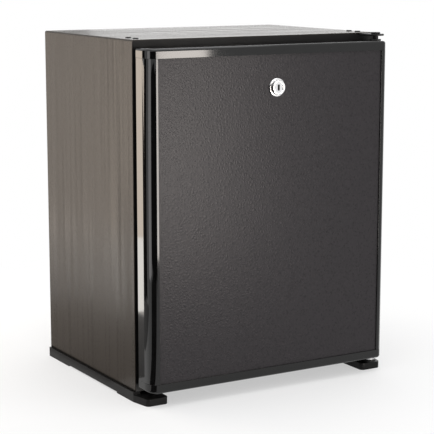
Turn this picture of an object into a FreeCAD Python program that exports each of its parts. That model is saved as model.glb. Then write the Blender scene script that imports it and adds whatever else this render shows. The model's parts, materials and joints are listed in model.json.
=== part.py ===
import FreeCAD, Part
import math
import os

from FreeCAD import Vector

# A small absorption minibar fridge, in millimetres. X runs to the right, Y to the back and Z up.
# The origin lies on the floor, under the middle of the whole fridge.

# Overall sizes
CABINET_WIDTH = 400.0
CABINET_DEPTH = 282.0
CABINET_HEIGHT = 486.0
RAIL_HEIGHT = 14.0
GASKET_GAP = 10.0        # from the cabinet's face to the back of the door
DOOR_THICKNESS = 38.0
LOCK_PROTRUSION = 5.0    # in front of the door
COOLING_DEPTH = 70.0     # behind the cabinet

# Fits that many pieces share
OVERRUN = 6.0            # how far a cut runs past the face that it opens
SEAT_CLEARANCE = 0.2     # between pieces that rest in or on each other
RUNNING_CLEARANCE = 0.05 # radial, a shaft in its hole
HOLE_CLEARANCE = 0.3     # radial, a screw or tube in its hole

# Cabinet sheets
WRAP_THICKNESS = 1.0
WRAP_BEND = 2.5
PAN_THICKNESS = 1.2
PAN_LIP = 12.0
REAR_THICKNESS = 1.0

# Liner: the compartment inside
LINER_SIDE_INSULATION = 32.0
LINER_BOTTOM_INSULATION = 34.0
LINER_TOP_INSULATION = 34.0
LINER_BACK_INSULATION = 38.0
LINER_WALL = 2.0
LINER_CORNER = 14.0
FRAME_DEPTH = 12.0

# Shelf ribs on the liner's side walls
RIB_COUNT = 4
RIB_FIRST_HEIGHT = 90.0  # above the compartment's floor
RIB_TOP_DROP = 129.0     # the highest rib below the ceiling
RIB_REACH = 8.0
RIB_THICKNESS = 5.0
RIB_FRONT = 80.0         # behind the cabinet's face
RIB_BACK_GAP = 10.0      # in front of the compartment's back
LOWER_SHELF_RIB_COUNT = 1  # the ribs below the shelf's own
UPPER_SHELF_RIB_COUNT = 3

# Wire shelves
SHELF_SIDE_GAP = 3.0
SHELF_FRONT_GAP = 2.0    # behind the ribs' front ends
SHELF_BACK_GAP = 12.0    # in front of the ribs' back ends
SHELF_RIM_RADIUS = 2.5
SHELF_RIM_BEND = 12.0
SHELF_WIRE_RADIUS = 1.6
SHELF_WIRE_COUNT = 14
SHELF_WELD = 0.6         # how far a wire sinks into the rim

# Base rails
RAIL_WIDTH = 39.0
RAIL_PROUD = 3.0         # outside the cabinet's side
TOE_REACH = 31.0
TOE_HEIGHT = 10.0
TOE_TAPER = 6.0
TOE_CORNER = 6.0
FRONT_PAD_END = 51.0     # behind the cabinet's face
REAR_PAD_LENGTH = 70.0
PAD_RELIEF = 2.0
RAIL_WALL = 4.0
RAIL_ROOF = 4.0
RAIL_POCKET_COUNT = 4
RAIL_RIB = 4.0

# Screws
SCREW_HEAD_RADIUS = 4.0
SCREW_HEAD_HEIGHT = 1.5
SCREW_SHANK_RADIUS = 2.0
RAIL_SCREW_LENGTH = 12.0
HINGE_SCREW_LENGTH = 14.0
PLUG_STEM_RADIUS = 2.0
PLUG_STEM_LENGTH = 6.0
PLUG_HEAD_HEIGHT = 1.0

# Hinges
HINGE_INSET = 17.0       # from the cabinet's right side
HINGE_REACH = 25.0       # in front of the cabinet's face
TOP_PLATE_THICKNESS = 2.5
TOP_PLATE_HALF_WIDTH = 12.0
TOP_PLATE_LENGTH = 56.0  # behind the cabinet's face
TOP_SCREW_INSET = 16.3   # from the cabinet's side
TOP_SCREW_DEPTHS = (20.5, 42.0)
PIN_RADIUS = 4.0
PIN_HEAD_RADIUS = 6.5
PIN_HEAD_HEIGHT = 2.5
PIN_DEPTH = 9.0          # into the door
BRACKET_HALF_WIDTH = 9.0
BRACKET_LENGTH = 44.0    # behind the cabinet's face
BRACKET_SCREW_DEPTHS = (14.0, 32.0)
SHOULDER_RADIUS = 7.0
BUSH_RADIUS = 6.0
BUSH_DEPTH = 10.0
BUSH_FLANGE_RADIUS = 8.0
BUSH_FLANGE = 1.5

# Door
DOOR_LEFT_INSET = 0.5    # from the cabinet's left side
DOOR_RIGHT_INSET = 9.0   # from the cabinet's right side
DOOR_TOP_DROP = 10.0     # below the cabinet's top
DOOR_BOTTOM_RISE = 7.0   # above the cabinet's bottom
CAP_HEIGHT = 13.0
CAP_WALL = 2.0
CAP_EDGE = 4.0
CAP_SOLID_END = 18.0     # round the bush
STILE_SIDE_FLAT = 17.5
BULL_NOSE_WIDTH = 10.3
LIP_WIDTH = 3.2
LIP_THICKNESS = 2.0
STILE_WALL = 2.0
STILE_FLANGE = 12.0
STILE_WEB = 1.6
STILE_WEB_REACH = 7.0
PANEL_THICKNESS = 2.0
PANEL_GRIP = 2.5         # the panel's edge behind the lip
DOOR_LINER_WALL = 2.0

# Door liner's raised ring, which carries the bins
DYKE_SIDE_INSET = 43.0   # from the door's sides
DYKE_BOTTOM_INSET = 41.0
DYKE_TOP_INSET = 78.0
DYKE_WIDTH = 16.0
DYKE_HEIGHT = 22.0
DYKE_CORNER = 8.0
LEDGE_HEIGHT = 6.0
LEDGE_REACH = 8.0

# Gasket
GASKET_SIDE_INSET = 14.0
GASKET_END_INSET = 15.0
GASKET_BASE_WIDTH = 14.0
GASKET_BASE_HEIGHT = 2.5
GASKET_NECK_WIDTH = 6.0
GASKET_NECK_HEIGHT = 2.0
GASKET_BULB_WIDTH = 11.0
GASKET_GAP_LEFT = 0.3    # between the shut gasket and the front frame

# Door bins, with heights as shares of the space inside the ring
LOWER_BIN_RISE = 10.0
LOWER_BIN_SHARE = 0.215
MIDDLE_BIN_RISE_SHARE = 0.42
MIDDLE_BIN_SHARE = 0.155
UPPER_BIN_RISE_SHARE = 0.742
UPPER_BIN_SHARE = 0.137
BIN_DEPTH = 58.0
BIN_WALL = 2.0
BIN_TAPER = 5.0          # the bin's floor is this much shallower than its rim
BIN_ROUND = 10.0
BOTTLE_BAR_RISE_SHARE = 0.335
BOTTLE_BAR_RADIUS = 2.0
BOTTLE_BAR_BEND = 10.0
BOTTLE_BAR_ROOT = 14.0   # behind the door liner

# Lock
LOCK_HEIGHT = 58.5       # below the top of the door
LOCK_FLANGE_RADIUS = 13.0
LOCK_FLANGE = 2.5
LOCK_RIM_RADIUS = 10.5
LOCK_RIM_EDGE = 1.0
LOCK_BARREL_RADIUS = 9.5
LOCK_BARREL_END = 3.0    # behind the cabinet's face
LOCK_NUT_RADIUS = 14.0   # to the corners of its hexagon
LOCK_NUT_THICKNESS = 5.0
PLUG_RADIUS = 7.0
PLUG_SET_BACK = 1.4      # behind the lock's rim
KEYWAY_WIDTH = 3.2
KEYWAY_HEIGHT = 8.2
KEYWAY_DEPTH = 12.0
CAM_GAP = 0.5
CAM_THICKNESS = 3.0
CAM_LENGTH = 27.0
CAM_HALF_WIDTH = 6.0
CAM_SQUARE = 7.0
CAM_SCREW_RADIUS = 4.5
CAM_SCREW_HEAD = 2.5
KEEPER_WIDTH = 28.0
KEEPER_DROP = 14.0
KEEPER_THICKNESS = 2.0
KEEPER_FOOT = 30.0
KEEPER_FRONT = 0.5       # behind the cabinet's face

# Lamp and thermostat housing on the ceiling
HOUSING_SIDE_GAP = 14.0  # from the compartment's right wall
HOUSING_WIDTH = 90.0
HOUSING_FRONT = 90.0     # behind the cabinet's face
HOUSING_DEPTH = 70.0
HOUSING_HEIGHT = 28.0
HOUSING_CORNER = 8.0
LENS_MARGIN = 7.0
LENS_WIDTH = 40.0
LENS_SEAT = 6.0
LENS_PROUD = 4.0
LENS_CORNER = 6.0
LENS_EDGE = 3.0
KNOB_RADIUS = 11.0
KNOB_LENGTH = 12.0
KNOB_SIDE = 22.0         # from the housing's right end
KNOB_EDGE = 1.5
KNOB_GAP = 0.4
KNOB_FLUTE_COUNT = 12
KNOB_FLUTE_RADIUS = 1.6
KNOB_POINTER = 1.2
STEM_RADIUS = 3.0
STEM_LENGTH = 10.0

# Light switch in the front frame
SWITCH_INSET = 80.0      # from the cabinet's right side
SWITCH_DROP = 18.0       # below the cabinet's top
SWITCH_WIDTH = 16.0
SWITCH_TALL = 11.0
SWITCH_DEPTH = 26.0
PLUNGER_RADIUS = 2.5
PLUNGER_GAP = 0.5        # between the plunger's tip and the shut door
PLUNGER_TAIL = 14.0
PLUNGER_BORE_DEPTH = 19.0

# Evaporator in the compartment
FIN_SIDE_GAP = 91.0      # from the compartment's side walls
FIN_PLATE_THICKNESS = 3.0
FIN_COUNT = 13
FIN_THICKNESS = 1.6
FIN_REACH = 27.0
FIN_TOP_DROP = 14.0      # below the ceiling
FIN_TALL = 65.0
GUTTER_SIDE_GAP = 81.0   # from the compartment's side walls
GUTTER_DEPTH = 36.0
GUTTER_TALL = 16.0
GUTTER_WALL = 2.0
GUTTER_GAP = 10.0        # below the fins
GUTTER_ROUND = 6.0

# Melt water drain
DRAIN_INSET = 30.0       # its axis from the gutter's right end
DRAIN_RADIUS = 5.0
DRAIN_WALL = 1.5
DRAIN_RISE = 6.5         # the tube's axis above the gutter's underside
DRAIN_BEND = 12.0
DRAIN_DROP = 86.0
CUP_RADIUS = 20.0
CUP_TALL = 42.0
CUP_WALL = 2.0
CUP_OVERLAP = 10.0       # the tube's end below the cup's rim
CUP_LUG_HALF_WIDTH = 8.0

# Cooling unit behind the cabinet
BOILER_INSET = 80.0      # its axis from the cabinet's right side
BOILER_RADIUS = 31.0
BOILER_BOTTOM = 50.0     # above the floor
BOILER_TALL = 280.0
BOILER_EDGE = 4.0
CONDENSER_RADIUS = 8.0
CONDENSER_DROP = 35.0    # the top run below the cabinet's top
CONDENSER_INSET = 50.0   # from the cabinet's left side
CONDENSER_RETURN = 45.0  # the return run below the top run
CONDENSER_BEND = 20.0
CONDENSER_FIN_COUNT = 12
CONDENSER_FIN_LEFT_GAP = 45.0   # from the tube's left end
CONDENSER_FIN_RIGHT_GAP = 60.0  # from the boiler's axis
CONDENSER_FIN_THICKNESS = 1.0
CONDENSER_FIN_DEEP = 56.0
CONDENSER_FIN_TALL = 46.0
CONDENSER_FIN_CORNER = 5.0
COVER_BOTTOM_DROP = 122.0  # below the cabinet's top
COVER_TALL = 46.0
COVER_DEPTH = 50.0
COVER_CORNER = 8.0
PASSAGE_MARGIN = 8.0     # the cover overlaps the hole in the wall
COIL_RADIUS = 7.0
COIL_INSET = 40.0        # from the cabinet's left side
COIL_DRAIN_GAP = 45.0    # from the drain tube's axis
COIL_TOP_DROP = 48.0     # the top run below the cover
COIL_BOTTOM_RISE = 58.0  # the lowest run above the vessel's axis
COIL_RUN_COUNT = 6
COIL_BEND_SHARE = 0.45   # of the pitch
VESSEL_RADIUS = 23.0
VESSEL_HEIGHT = 72.0     # its axis above the floor
VESSEL_INSET = 50.0      # from the cabinet's left side
VESSEL_BOILER_GAP = 60.0 # from the boiler's axis
VESSEL_ROUND = 9.0
BRACKET_STRIP_SHARES = (0.235, 0.765)  # of the coil's width
BRACKET_STRIP_WIDTH = 18.0
BRACKET_STRIP_WALL = 1.6
BRACKET_STRIP_FOOT = 10.0
SADDLE_WIDTH = 16.0
SADDLE_TALL = 26.0
BOILER_SADDLE_HEIGHTS = (40.0, 220.0)  # above the boiler's bottom
TERMINAL_INSET = 4.0     # from the cabinet's right side
TERMINAL_WIDTH = 38.0
TERMINAL_BOTTOM = 48.0
TERMINAL_TALL = 70.0
TERMINAL_DEPTH = 36.0
TERMINAL_CORNER = 4.0
GLAND_RADIUS = 8.0
GLAND_BORE = 4.0
GLAND_LENGTH = 10.0
GLAND_COLLAR = 3.0

# Places that follow from the sizes above
TOTAL_DEPTH = LOCK_PROTRUSION + DOOR_THICKNESS + GASKET_GAP + CABINET_DEPTH + COOLING_DEPTH
DOOR_FRONT_Y = LOCK_PROTRUSION - TOTAL_DEPTH / 2
DOOR_BACK_Y = DOOR_FRONT_Y + DOOR_THICKNESS
FACE_Y = DOOR_BACK_Y + GASKET_GAP
BACK_Y = FACE_Y + CABINET_DEPTH
HALF_WIDTH = CABINET_WIDTH / 2
INSIDE_HALF = HALF_WIDTH - WRAP_THICKNESS
RAIL_INNER = HALF_WIDTH + RAIL_PROUD - RAIL_WIDTH
HINGE_X = HALF_WIDTH - HINGE_INSET
TOP_SCREW_SIDE = HALF_WIDTH - TOP_SCREW_INSET
SWITCH_X = HALF_WIDTH - SWITCH_INSET
TERMINAL_LEFT = HALF_WIDTH - TERMINAL_INSET - TERMINAL_WIDTH
BOTTOM_Z = RAIL_HEIGHT
TOP_Z = BOTTOM_Z + CABINET_HEIGHT
SHEET_TOP_Z = TOP_Z - WRAP_THICKNESS
REAR_FACE_Y = BACK_Y - REAR_THICKNESS

LINER_HALF = HALF_WIDTH - LINER_SIDE_INSULATION - LINER_WALL
FIN_PLATE_HALF_WIDTH = LINER_HALF - FIN_SIDE_GAP
GUTTER_HALF_WIDTH = LINER_HALF - GUTTER_SIDE_GAP
COVER_HALF_WIDTH = FIN_PLATE_HALF_WIDTH
HOUSING_LEFT = LINER_HALF - HOUSING_SIDE_GAP - HOUSING_WIDTH
LINER_FLOOR_Z = BOTTOM_Z + LINER_BOTTOM_INSULATION + LINER_WALL
LINER_CEILING_Z = TOP_Z - LINER_TOP_INSULATION - LINER_WALL
LINER_BACK_Y = BACK_Y - LINER_BACK_INSULATION - LINER_WALL
RIB_LENGTH = LINER_BACK_Y - RIB_BACK_GAP - FACE_Y - RIB_FRONT
RIB_PITCH = (LINER_CEILING_Z - LINER_FLOOR_Z - RIB_FIRST_HEIGHT - RIB_TOP_DROP) / (RIB_COUNT - 1)
SHELF_DEPTH = RIB_LENGTH - SHELF_FRONT_GAP - SHELF_BACK_GAP

DOOR_LEFT_X = -HALF_WIDTH + DOOR_LEFT_INSET
DOOR_RIGHT_X = HALF_WIDTH - DOOR_RIGHT_INSET
DOOR_TOP_Z = TOP_Z - DOOR_TOP_DROP
DOOR_BOTTOM_Z = BOTTOM_Z + DOOR_BOTTOM_RISE
STILE_TOP_Z = DOOR_TOP_Z - CAP_HEIGHT
STILE_BOTTOM_Z = DOOR_BOTTOM_Z + CAP_HEIGHT
PANEL_FRONT_Y = DOOR_FRONT_Y + LIP_THICKNESS
PANEL_BACK_Y = PANEL_FRONT_Y + PANEL_THICKNESS
PANEL_INSET = BULL_NOSE_WIDTH + LIP_WIDTH - PANEL_GRIP
LINER_SHEET_Y = DOOR_BACK_Y - DOOR_LINER_WALL

DYKE_LEFT_X = DOOR_LEFT_X + DYKE_SIDE_INSET
DYKE_RIGHT_X = DOOR_RIGHT_X - DYKE_SIDE_INSET
DYKE_BOTTOM_Z = DOOR_BOTTOM_Z + DYKE_BOTTOM_INSET
DYKE_TOP_Z = DOOR_TOP_Z - DYKE_TOP_INSET
DYKE_FLOOR_Z = DYKE_BOTTOM_Z + DYKE_WIDTH
BAY_LEFT_X = DYKE_LEFT_X + DYKE_WIDTH
BAY_RIGHT_X = DYKE_RIGHT_X - DYKE_WIDTH
BAY_HEIGHT = DYKE_TOP_Z - DYKE_FLOOR_Z
MIDDLE_BIN_RISE = BAY_HEIGHT * MIDDLE_BIN_RISE_SHARE
UPPER_BIN_RISE = BAY_HEIGHT * UPPER_BIN_RISE_SHARE

HINGE_Y = FACE_Y - HINGE_REACH
PLATE_Z = SHEET_TOP_Z - TOP_PLATE_THICKNESS
LOCK_Z = DOOR_TOP_Z - LOCK_HEIGHT
LOCK_FACE_Y = DOOR_FRONT_Y - LOCK_PROTRUSION
BARREL_END_Y = FACE_Y + LOCK_BARREL_END
CAM_Y = BARREL_END_Y + CAM_GAP
SWITCH_Z = TOP_Z - SWITCH_DROP
GUTTER_TOP_Z = LINER_CEILING_Z - FIN_TOP_DROP - FIN_TALL - GUTTER_GAP
GUTTER_BOTTOM_Z = GUTTER_TOP_Z - GUTTER_TALL
DRAIN_Z = GUTTER_BOTTOM_Z + DRAIN_RISE
COOLING_Y = BACK_Y + COOLING_DEPTH - BOILER_RADIUS
COVER_BOTTOM_Z = TOP_Z - COVER_BOTTOM_DROP
COVER_TOP_Z = COVER_BOTTOM_Z + COVER_TALL
BOILER_TOP_Z = BOILER_BOTTOM + BOILER_TALL
BOILER_X = HALF_WIDTH - BOILER_INSET
DRAIN_X = GUTTER_HALF_WIDTH - DRAIN_INSET
CONDENSER_LEFT = -HALF_WIDTH + CONDENSER_INSET
CONDENSER_FIN_FIRST = CONDENSER_LEFT + CONDENSER_FIN_LEFT_GAP
CONDENSER_FIN_LAST = BOILER_X - CONDENSER_FIN_RIGHT_GAP
CONDENSER_FIN_PITCH = (CONDENSER_FIN_LAST - CONDENSER_FIN_FIRST) / (CONDENSER_FIN_COUNT - 1)
VESSEL_LEFT = -HALF_WIDTH + VESSEL_INSET
VESSEL_RIGHT = BOILER_X - VESSEL_BOILER_GAP
COIL_LEFT = -HALF_WIDTH + COIL_INSET
COIL_RIGHT = DRAIN_X - COIL_DRAIN_GAP
COIL_TOP_Z = COVER_BOTTOM_Z - COIL_TOP_DROP
COIL_PITCH = (COIL_TOP_Z - VESSEL_HEIGHT - COIL_BOTTOM_RISE) / (COIL_RUN_COUNT - 1)
BRACKET_STRIP_XS = [COIL_LEFT + (COIL_RIGHT - COIL_LEFT) * share for share in BRACKET_STRIP_SHARES]


# Planes that outlines are drawn in

def front_plane(y):
    return lambda x, z: Vector(x, y, z)


def level_plane(z):
    return lambda x, y: Vector(x, y, z)


def side_plane(x):
    return lambda y, z: Vector(x, y, z)


# Simple solids

def block(x0, x1, y0, y1, z0, z1):
    return Part.makeBox(x1 - x0, y1 - y0, z1 - z0, Vector(x0, y0, z0))


def rod(start, end, radius):
    return Part.makeCylinder(radius, (end - start).Length, start, end - start)


def plain_face(points, place):
    corners = [place(*point) for point in points]
    return Part.Face(Part.makePolygon(corners + corners[:1]))


def rounded_face(a0, a1, b0, b1, radius, place):
    """A rectangle with round corners."""
    bulge = radius * (1 - math.sqrt(0.5))
    corners = [
        [(a0, b0 + radius), (a0 + bulge, b0 + bulge), (a0 + radius, b0)],
        [(a1 - radius, b0), (a1 - bulge, b0 + bulge), (a1, b0 + radius)],
        [(a1, b1 - radius), (a1 - bulge, b1 - bulge), (a1 - radius, b1)],
        [(a0 + radius, b1), (a0 + bulge, b1 - bulge), (a0, b1 - radius)],
    ]
    edges = []
    for here, after in zip(corners, corners[1:] + corners[:1]):
        edges.append(Part.Arc(*[place(*point) for point in here]).toShape())
        edges.append(Part.makeLine(place(*here[-1]), place(*after[0])))
    return Part.Face(Part.Wire(edges))


def turned(profile, axis_point, axis):
    """A solid of revolution from a closed profile."""
    return profile.revolve(axis_point, axis, 360)


def bent_path(points, bend):
    """Straight runs between the points, joined by tangent arcs."""
    edges = []
    start = points[0]
    for before, corner, after in zip(points, points[1:], points[2:]):
        into = (corner - before).normalize()
        out = (after - corner).normalize()
        half_turn = into.getAngle(out) / 2
        reach = bend * math.tan(half_turn)
        inward = (out - into).normalize()
        first = corner - into * reach
        middle = corner + inward * (bend / math.cos(half_turn) - bend)
        last = corner + out * reach
        edges.append(Part.makeLine(start, first))
        edges.append(Part.Arc(first, middle, last).toShape())
        start = last
    edges.append(Part.makeLine(start, points[-1]))
    return Part.Wire(edges)


def pipe(points, bend, radius):
    section = Part.Wire(Part.makeCircle(radius, points[0], points[1] - points[0]))
    return bent_path(points, bend).makePipeShell([section], True, False)


def mirrored(shape):
    return shape.mirror(Vector(0, 0, 0), Vector(1, 0, 0))


def screw(seat, inward, length):
    """A pan-headed screw whose head stands on the seat and whose shank runs inward."""
    head = rod(seat, seat - inward * SCREW_HEAD_HEIGHT, SCREW_HEAD_RADIUS)
    shank = rod(seat, seat + inward * length, SCREW_SHANK_RADIUS)
    return head.fuse(shank).removeSplitter()


def screw_hole(seat, inward, length):
    reach = inward * (length + HOLE_CLEARANCE)
    return rod(seat - inward * OVERRUN, seat + reach, SCREW_SHANK_RADIUS + HOLE_CLEARANCE)


# Seats of the screws, each with the way that its shank runs

UP = Vector(0, 0, 1)
DOWN = Vector(0, 0, -1)
BACKWARD = Vector(0, 1, 0)


def top_screw_seats(side):
    return [Vector(side * TOP_SCREW_SIDE, FACE_Y + depth, TOP_Z) for depth in TOP_SCREW_DEPTHS]


def pocket_spans():
    """The front and back of each pocket under a rail."""
    front = FACE_Y + FRONT_PAD_END + RAIL_RIB
    back = BACK_Y - REAR_PAD_LENGTH - RAIL_RIB
    pitch = (back - front + RAIL_RIB) / RAIL_POCKET_COUNT
    return [(front + i * pitch, front + (i + 1) * pitch - RAIL_RIB) for i in range(RAIL_POCKET_COUNT)]


def rail_middle():
    return (RAIL_INNER + HALF_WIDTH) / 2


def rail_screw_seats(side):
    spans = pocket_spans()
    roof_z = RAIL_HEIGHT - RAIL_ROOF
    return [Vector(side * rail_middle(), sum(span) / 2, roof_z) for span in (spans[0], spans[-1])]


def bracket_screw_seats():
    return [Vector(HINGE_X, FACE_Y + depth, TOE_HEIGHT) for depth in BRACKET_SCREW_DEPTHS]


# Cabinet

def outer_wrap():
    def arch(half, top, radius, bottom):
        bulge = radius * (1 - math.sqrt(0.5))
        place = front_plane(FACE_Y)
        left = Part.Arc(
            place(-half, top - radius), place(-half + bulge, top - bulge), place(-half + radius, top))
        right = Part.Arc(
            place(half - radius, top), place(half - bulge, top - bulge), place(half, top - radius))
        edges = [
            Part.makeLine(place(-half, bottom), place(-half, top - radius)),
            left.toShape(),
            Part.makeLine(place(-half + radius, top), place(half - radius, top)),
            right.toShape(),
            Part.makeLine(place(half, top - radius), place(half, bottom)),
            Part.makeLine(place(half, bottom), place(-half, bottom)),
        ]
        return Part.Face(Part.Wire(edges)).extrude(BACKWARD * CABINET_DEPTH)

    outside = arch(HALF_WIDTH, TOP_Z, WRAP_BEND, BOTTOM_Z)
    inside = arch(INSIDE_HALF, SHEET_TOP_Z, WRAP_BEND - WRAP_THICKNESS, BOTTOM_Z - OVERRUN)
    holes = [
        screw_hole(seat, DOWN, HINGE_SCREW_LENGTH) for side in (-1, 1) for seat in top_screw_seats(side)]
    return outside.cut([inside] + holes)


def base_pan():
    outside = block(-INSIDE_HALF, INSIDE_HALF, FACE_Y, BACK_Y, BOTTOM_Z, BOTTOM_Z + PAN_LIP)
    inside = block(
        -INSIDE_HALF + PAN_THICKNESS, INSIDE_HALF - PAN_THICKNESS,
        FACE_Y + PAN_THICKNESS, BACK_Y - PAN_THICKNESS,
        BOTTOM_Z + PAN_THICKNESS, BOTTOM_Z + PAN_LIP + OVERRUN)
    holes = [screw_hole(seat, UP, RAIL_SCREW_LENGTH) for side in (-1, 1) for seat in rail_screw_seats(side)]
    holes += [screw_hole(seat, UP, RAIL_SCREW_LENGTH) for seat in bracket_screw_seats()]
    return outside.cut([inside] + holes)


def passage(y0, y1, margin):
    """The hole through the wall for the evaporator, or the plug that fills it."""
    half = COVER_HALF_WIDTH - PASSAGE_MARGIN - margin
    bottom = COVER_BOTTOM_Z + PASSAGE_MARGIN + margin
    top = COVER_TOP_Z - PASSAGE_MARGIN - margin
    return block(-half, half, y0, y1, bottom, top)


def drain_points():
    knee = Vector(DRAIN_X, COOLING_Y, DRAIN_Z)
    return [Vector(DRAIN_X, LINER_BACK_Y - GUTTER_WALL, DRAIN_Z), knee, knee + DOWN * DRAIN_DROP]


def drain_hole():
    start = Vector(DRAIN_X, LINER_BACK_Y - OVERRUN, DRAIN_Z)
    return rod(start, Vector(DRAIN_X, BACK_Y + OVERRUN, DRAIN_Z), DRAIN_RADIUS + HOLE_CLEARANCE)


def rear_panel():
    sheet = block(-INSIDE_HALF, INSIDE_HALF, REAR_FACE_Y, BACK_Y, BOTTOM_Z + PAN_LIP, SHEET_TOP_Z)
    hole = passage(REAR_FACE_Y - OVERRUN, BACK_Y + OVERRUN, 0)
    return sheet.cut([hole, drain_hole(), wrap_corner(), mirrored(wrap_corner())])


def liner_prism(grow, y0, y1):
    """The compartment's round-cornered form, grown outward."""
    face = rounded_face(
        -LINER_HALF - grow, LINER_HALF + grow, LINER_FLOOR_Z - grow, LINER_CEILING_Z + grow,
        LINER_CORNER + grow, front_plane(y0))
    return face.extrude(BACKWARD * (y1 - y0))


def rib_heights():
    return [LINER_FLOOR_Z + RIB_FIRST_HEIGHT + i * RIB_PITCH for i in range(RIB_COUNT)]


def shelf_rib(height):
    """One ledge on the right wall, with its top at the height and a round front end."""
    inner = LINER_HALF - RIB_REACH
    front = FACE_Y + RIB_FRONT
    bulge = RIB_REACH * (1 - math.sqrt(0.5))
    place = level_plane(height - RIB_THICKNESS)
    nose = Part.Arc(
        place(LINER_HALF, front),
        place(inner + bulge, front + bulge),
        place(inner, front + RIB_REACH))
    edges = [
        nose.toShape(),
        Part.makeLine(place(inner, front + RIB_REACH), place(inner, front + RIB_LENGTH)),
        Part.makeLine(place(inner, front + RIB_LENGTH), place(LINER_HALF, front + RIB_LENGTH)),
        Part.makeLine(place(LINER_HALF, front + RIB_LENGTH), place(LINER_HALF, front)),
    ]
    return Part.Face(Part.Wire(edges)).extrude(UP * RIB_THICKNESS)


def inner_liner():
    outside = liner_prism(LINER_WALL, FACE_Y, LINER_BACK_Y + LINER_WALL)
    shell = outside.cut([liner_prism(0, FACE_Y - OVERRUN, LINER_BACK_Y), drain_hole()])
    ribs = [shelf_rib(height) for height in rib_heights()]
    return shell.fuse(ribs + [mirrored(rib) for rib in ribs]).removeSplitter()


def switch_box(grow):
    half_width = SWITCH_WIDTH / 2 + grow
    half_tall = SWITCH_TALL / 2 + grow
    return block(
        SWITCH_X - half_width, SWITCH_X + half_width, FACE_Y, FACE_Y + SWITCH_DEPTH + grow,
        SWITCH_Z - half_tall, SWITCH_Z + half_tall)


def front_frame():
    ring = block(
        -INSIDE_HALF, INSIDE_HALF, FACE_Y + PAN_THICKNESS, FACE_Y + FRAME_DEPTH,
        BOTTOM_Z + PAN_THICKNESS, SHEET_TOP_Z)
    face = block(
        -INSIDE_HALF, INSIDE_HALF, FACE_Y, FACE_Y + FRAME_DEPTH, BOTTOM_Z + PAN_LIP, SHEET_TOP_Z)
    side_lips = [
        block(
            -INSIDE_HALF, -INSIDE_HALF + PAN_THICKNESS, FACE_Y, FACE_Y + FRAME_DEPTH,
            BOTTOM_Z, BOTTOM_Z + PAN_LIP),
        block(
            INSIDE_HALF - PAN_THICKNESS, INSIDE_HALF, FACE_Y, FACE_Y + FRAME_DEPTH,
            BOTTOM_Z, BOTTOM_Z + PAN_LIP),
    ]
    mouth = liner_prism(LINER_WALL + HOLE_CLEARANCE, FACE_Y - OVERRUN, FACE_Y + FRAME_DEPTH + OVERRUN)
    bend = [mirrored(wrap_corner()), wrap_corner()]
    solid = ring.cut(side_lips).fuse(face).removeSplitter()
    return solid.cut([mouth, switch_box(SEAT_CLEARANCE), plate_solid(SEAT_CLEARANCE)] + bend)


def wrap_corner():
    """What the wrap's rounded top right bend leaves outside a square corner."""
    radius = WRAP_BEND - WRAP_THICKNESS
    corner = block(
        INSIDE_HALF - radius, INSIDE_HALF, FACE_Y - OVERRUN, BACK_Y + OVERRUN,
        SHEET_TOP_Z - radius, SHEET_TOP_Z)
    start = Vector(INSIDE_HALF - radius, FACE_Y - OVERRUN, SHEET_TOP_Z - radius)
    return corner.cut(rod(start, start + BACKWARD * (CABINET_DEPTH + OVERRUN + OVERRUN), radius))


def cabinet_foam():
    solid = block(
        -INSIDE_HALF, INSIDE_HALF, FACE_Y + FRAME_DEPTH, REAR_FACE_Y,
        BOTTOM_Z + PAN_LIP, SHEET_TOP_Z)
    low = block(
        -INSIDE_HALF + PAN_THICKNESS, INSIDE_HALF - PAN_THICKNESS,
        FACE_Y + FRAME_DEPTH, BACK_Y - PAN_THICKNESS,
        BOTTOM_Z + PAN_THICKNESS, BOTTOM_Z + PAN_LIP)
    cuts = [
        liner_prism(LINER_WALL, FACE_Y, LINER_BACK_Y + LINER_WALL),
        passage(LINER_BACK_Y, BACK_Y, 0),
        drain_hole(),
        switch_box(SEAT_CLEARANCE),
        plate_solid(SEAT_CLEARANCE),
        wrap_corner(),
        mirrored(wrap_corner()),
    ]
    for side in (-1, 1):
        cuts += [screw_hole(seat, DOWN, HINGE_SCREW_LENGTH) for seat in top_screw_seats(side)]
        cuts += [screw_hole(seat, UP, RAIL_SCREW_LENGTH) for seat in rail_screw_seats(side)]
    cuts += [screw_hole(seat, UP, RAIL_SCREW_LENGTH) for seat in bracket_screw_seats()]
    return solid.fuse(low).removeSplitter().cut(cuts)


# Base rails

def right_base_rail():
    outer = HALF_WIDTH + RAIL_PROUD
    tip = FACE_Y - TOE_REACH
    tip_outer = outer - TOE_TAPER
    outline = plain_face(
        [(RAIL_INNER, BACK_Y), (RAIL_INNER, tip), (tip_outer, tip), (outer, FACE_Y), (outer, BACK_Y)],
        level_plane(0))
    rail = outline.extrude(UP * RAIL_HEIGHT)
    tip_edges = [
        edge for edge in rail.Edges
        if edge.BoundBox.YMax < FACE_Y - TOE_REACH / 2 and edge.BoundBox.ZLength > 0]
    rail = rail.makeFillet(TOE_CORNER, tip_edges)
    above_toe = block(
        RAIL_INNER - OVERRUN, outer + OVERRUN, tip - OVERRUN, FACE_Y, TOE_HEIGHT, RAIL_HEIGHT + OVERRUN)
    relief = block(
        RAIL_INNER - OVERRUN, outer + OVERRUN, FACE_Y + FRONT_PAD_END, BACK_Y - REAR_PAD_LENGTH,
        -OVERRUN, PAD_RELIEF)
    pockets = [
        block(RAIL_INNER + RAIL_WALL, outer - RAIL_WALL, front, back, -OVERRUN, RAIL_HEIGHT - RAIL_ROOF)
        for front, back in pocket_spans()]
    holes = [screw_hole(seat, UP, RAIL_SCREW_LENGTH) for seat in rail_screw_seats(1)]
    sockets = [
        rod(seat + DOWN * RAIL_HEIGHT, seat + UP * OVERRUN, SCREW_HEAD_RADIUS + HOLE_CLEARANCE)
        for seat in bracket_screw_seats()]
    return rail.cut([above_toe, relief, bracket_solid(SEAT_CLEARANCE)] + pockets + holes + sockets)


def left_base_rail():
    return mirrored(right_base_rail())


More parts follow.
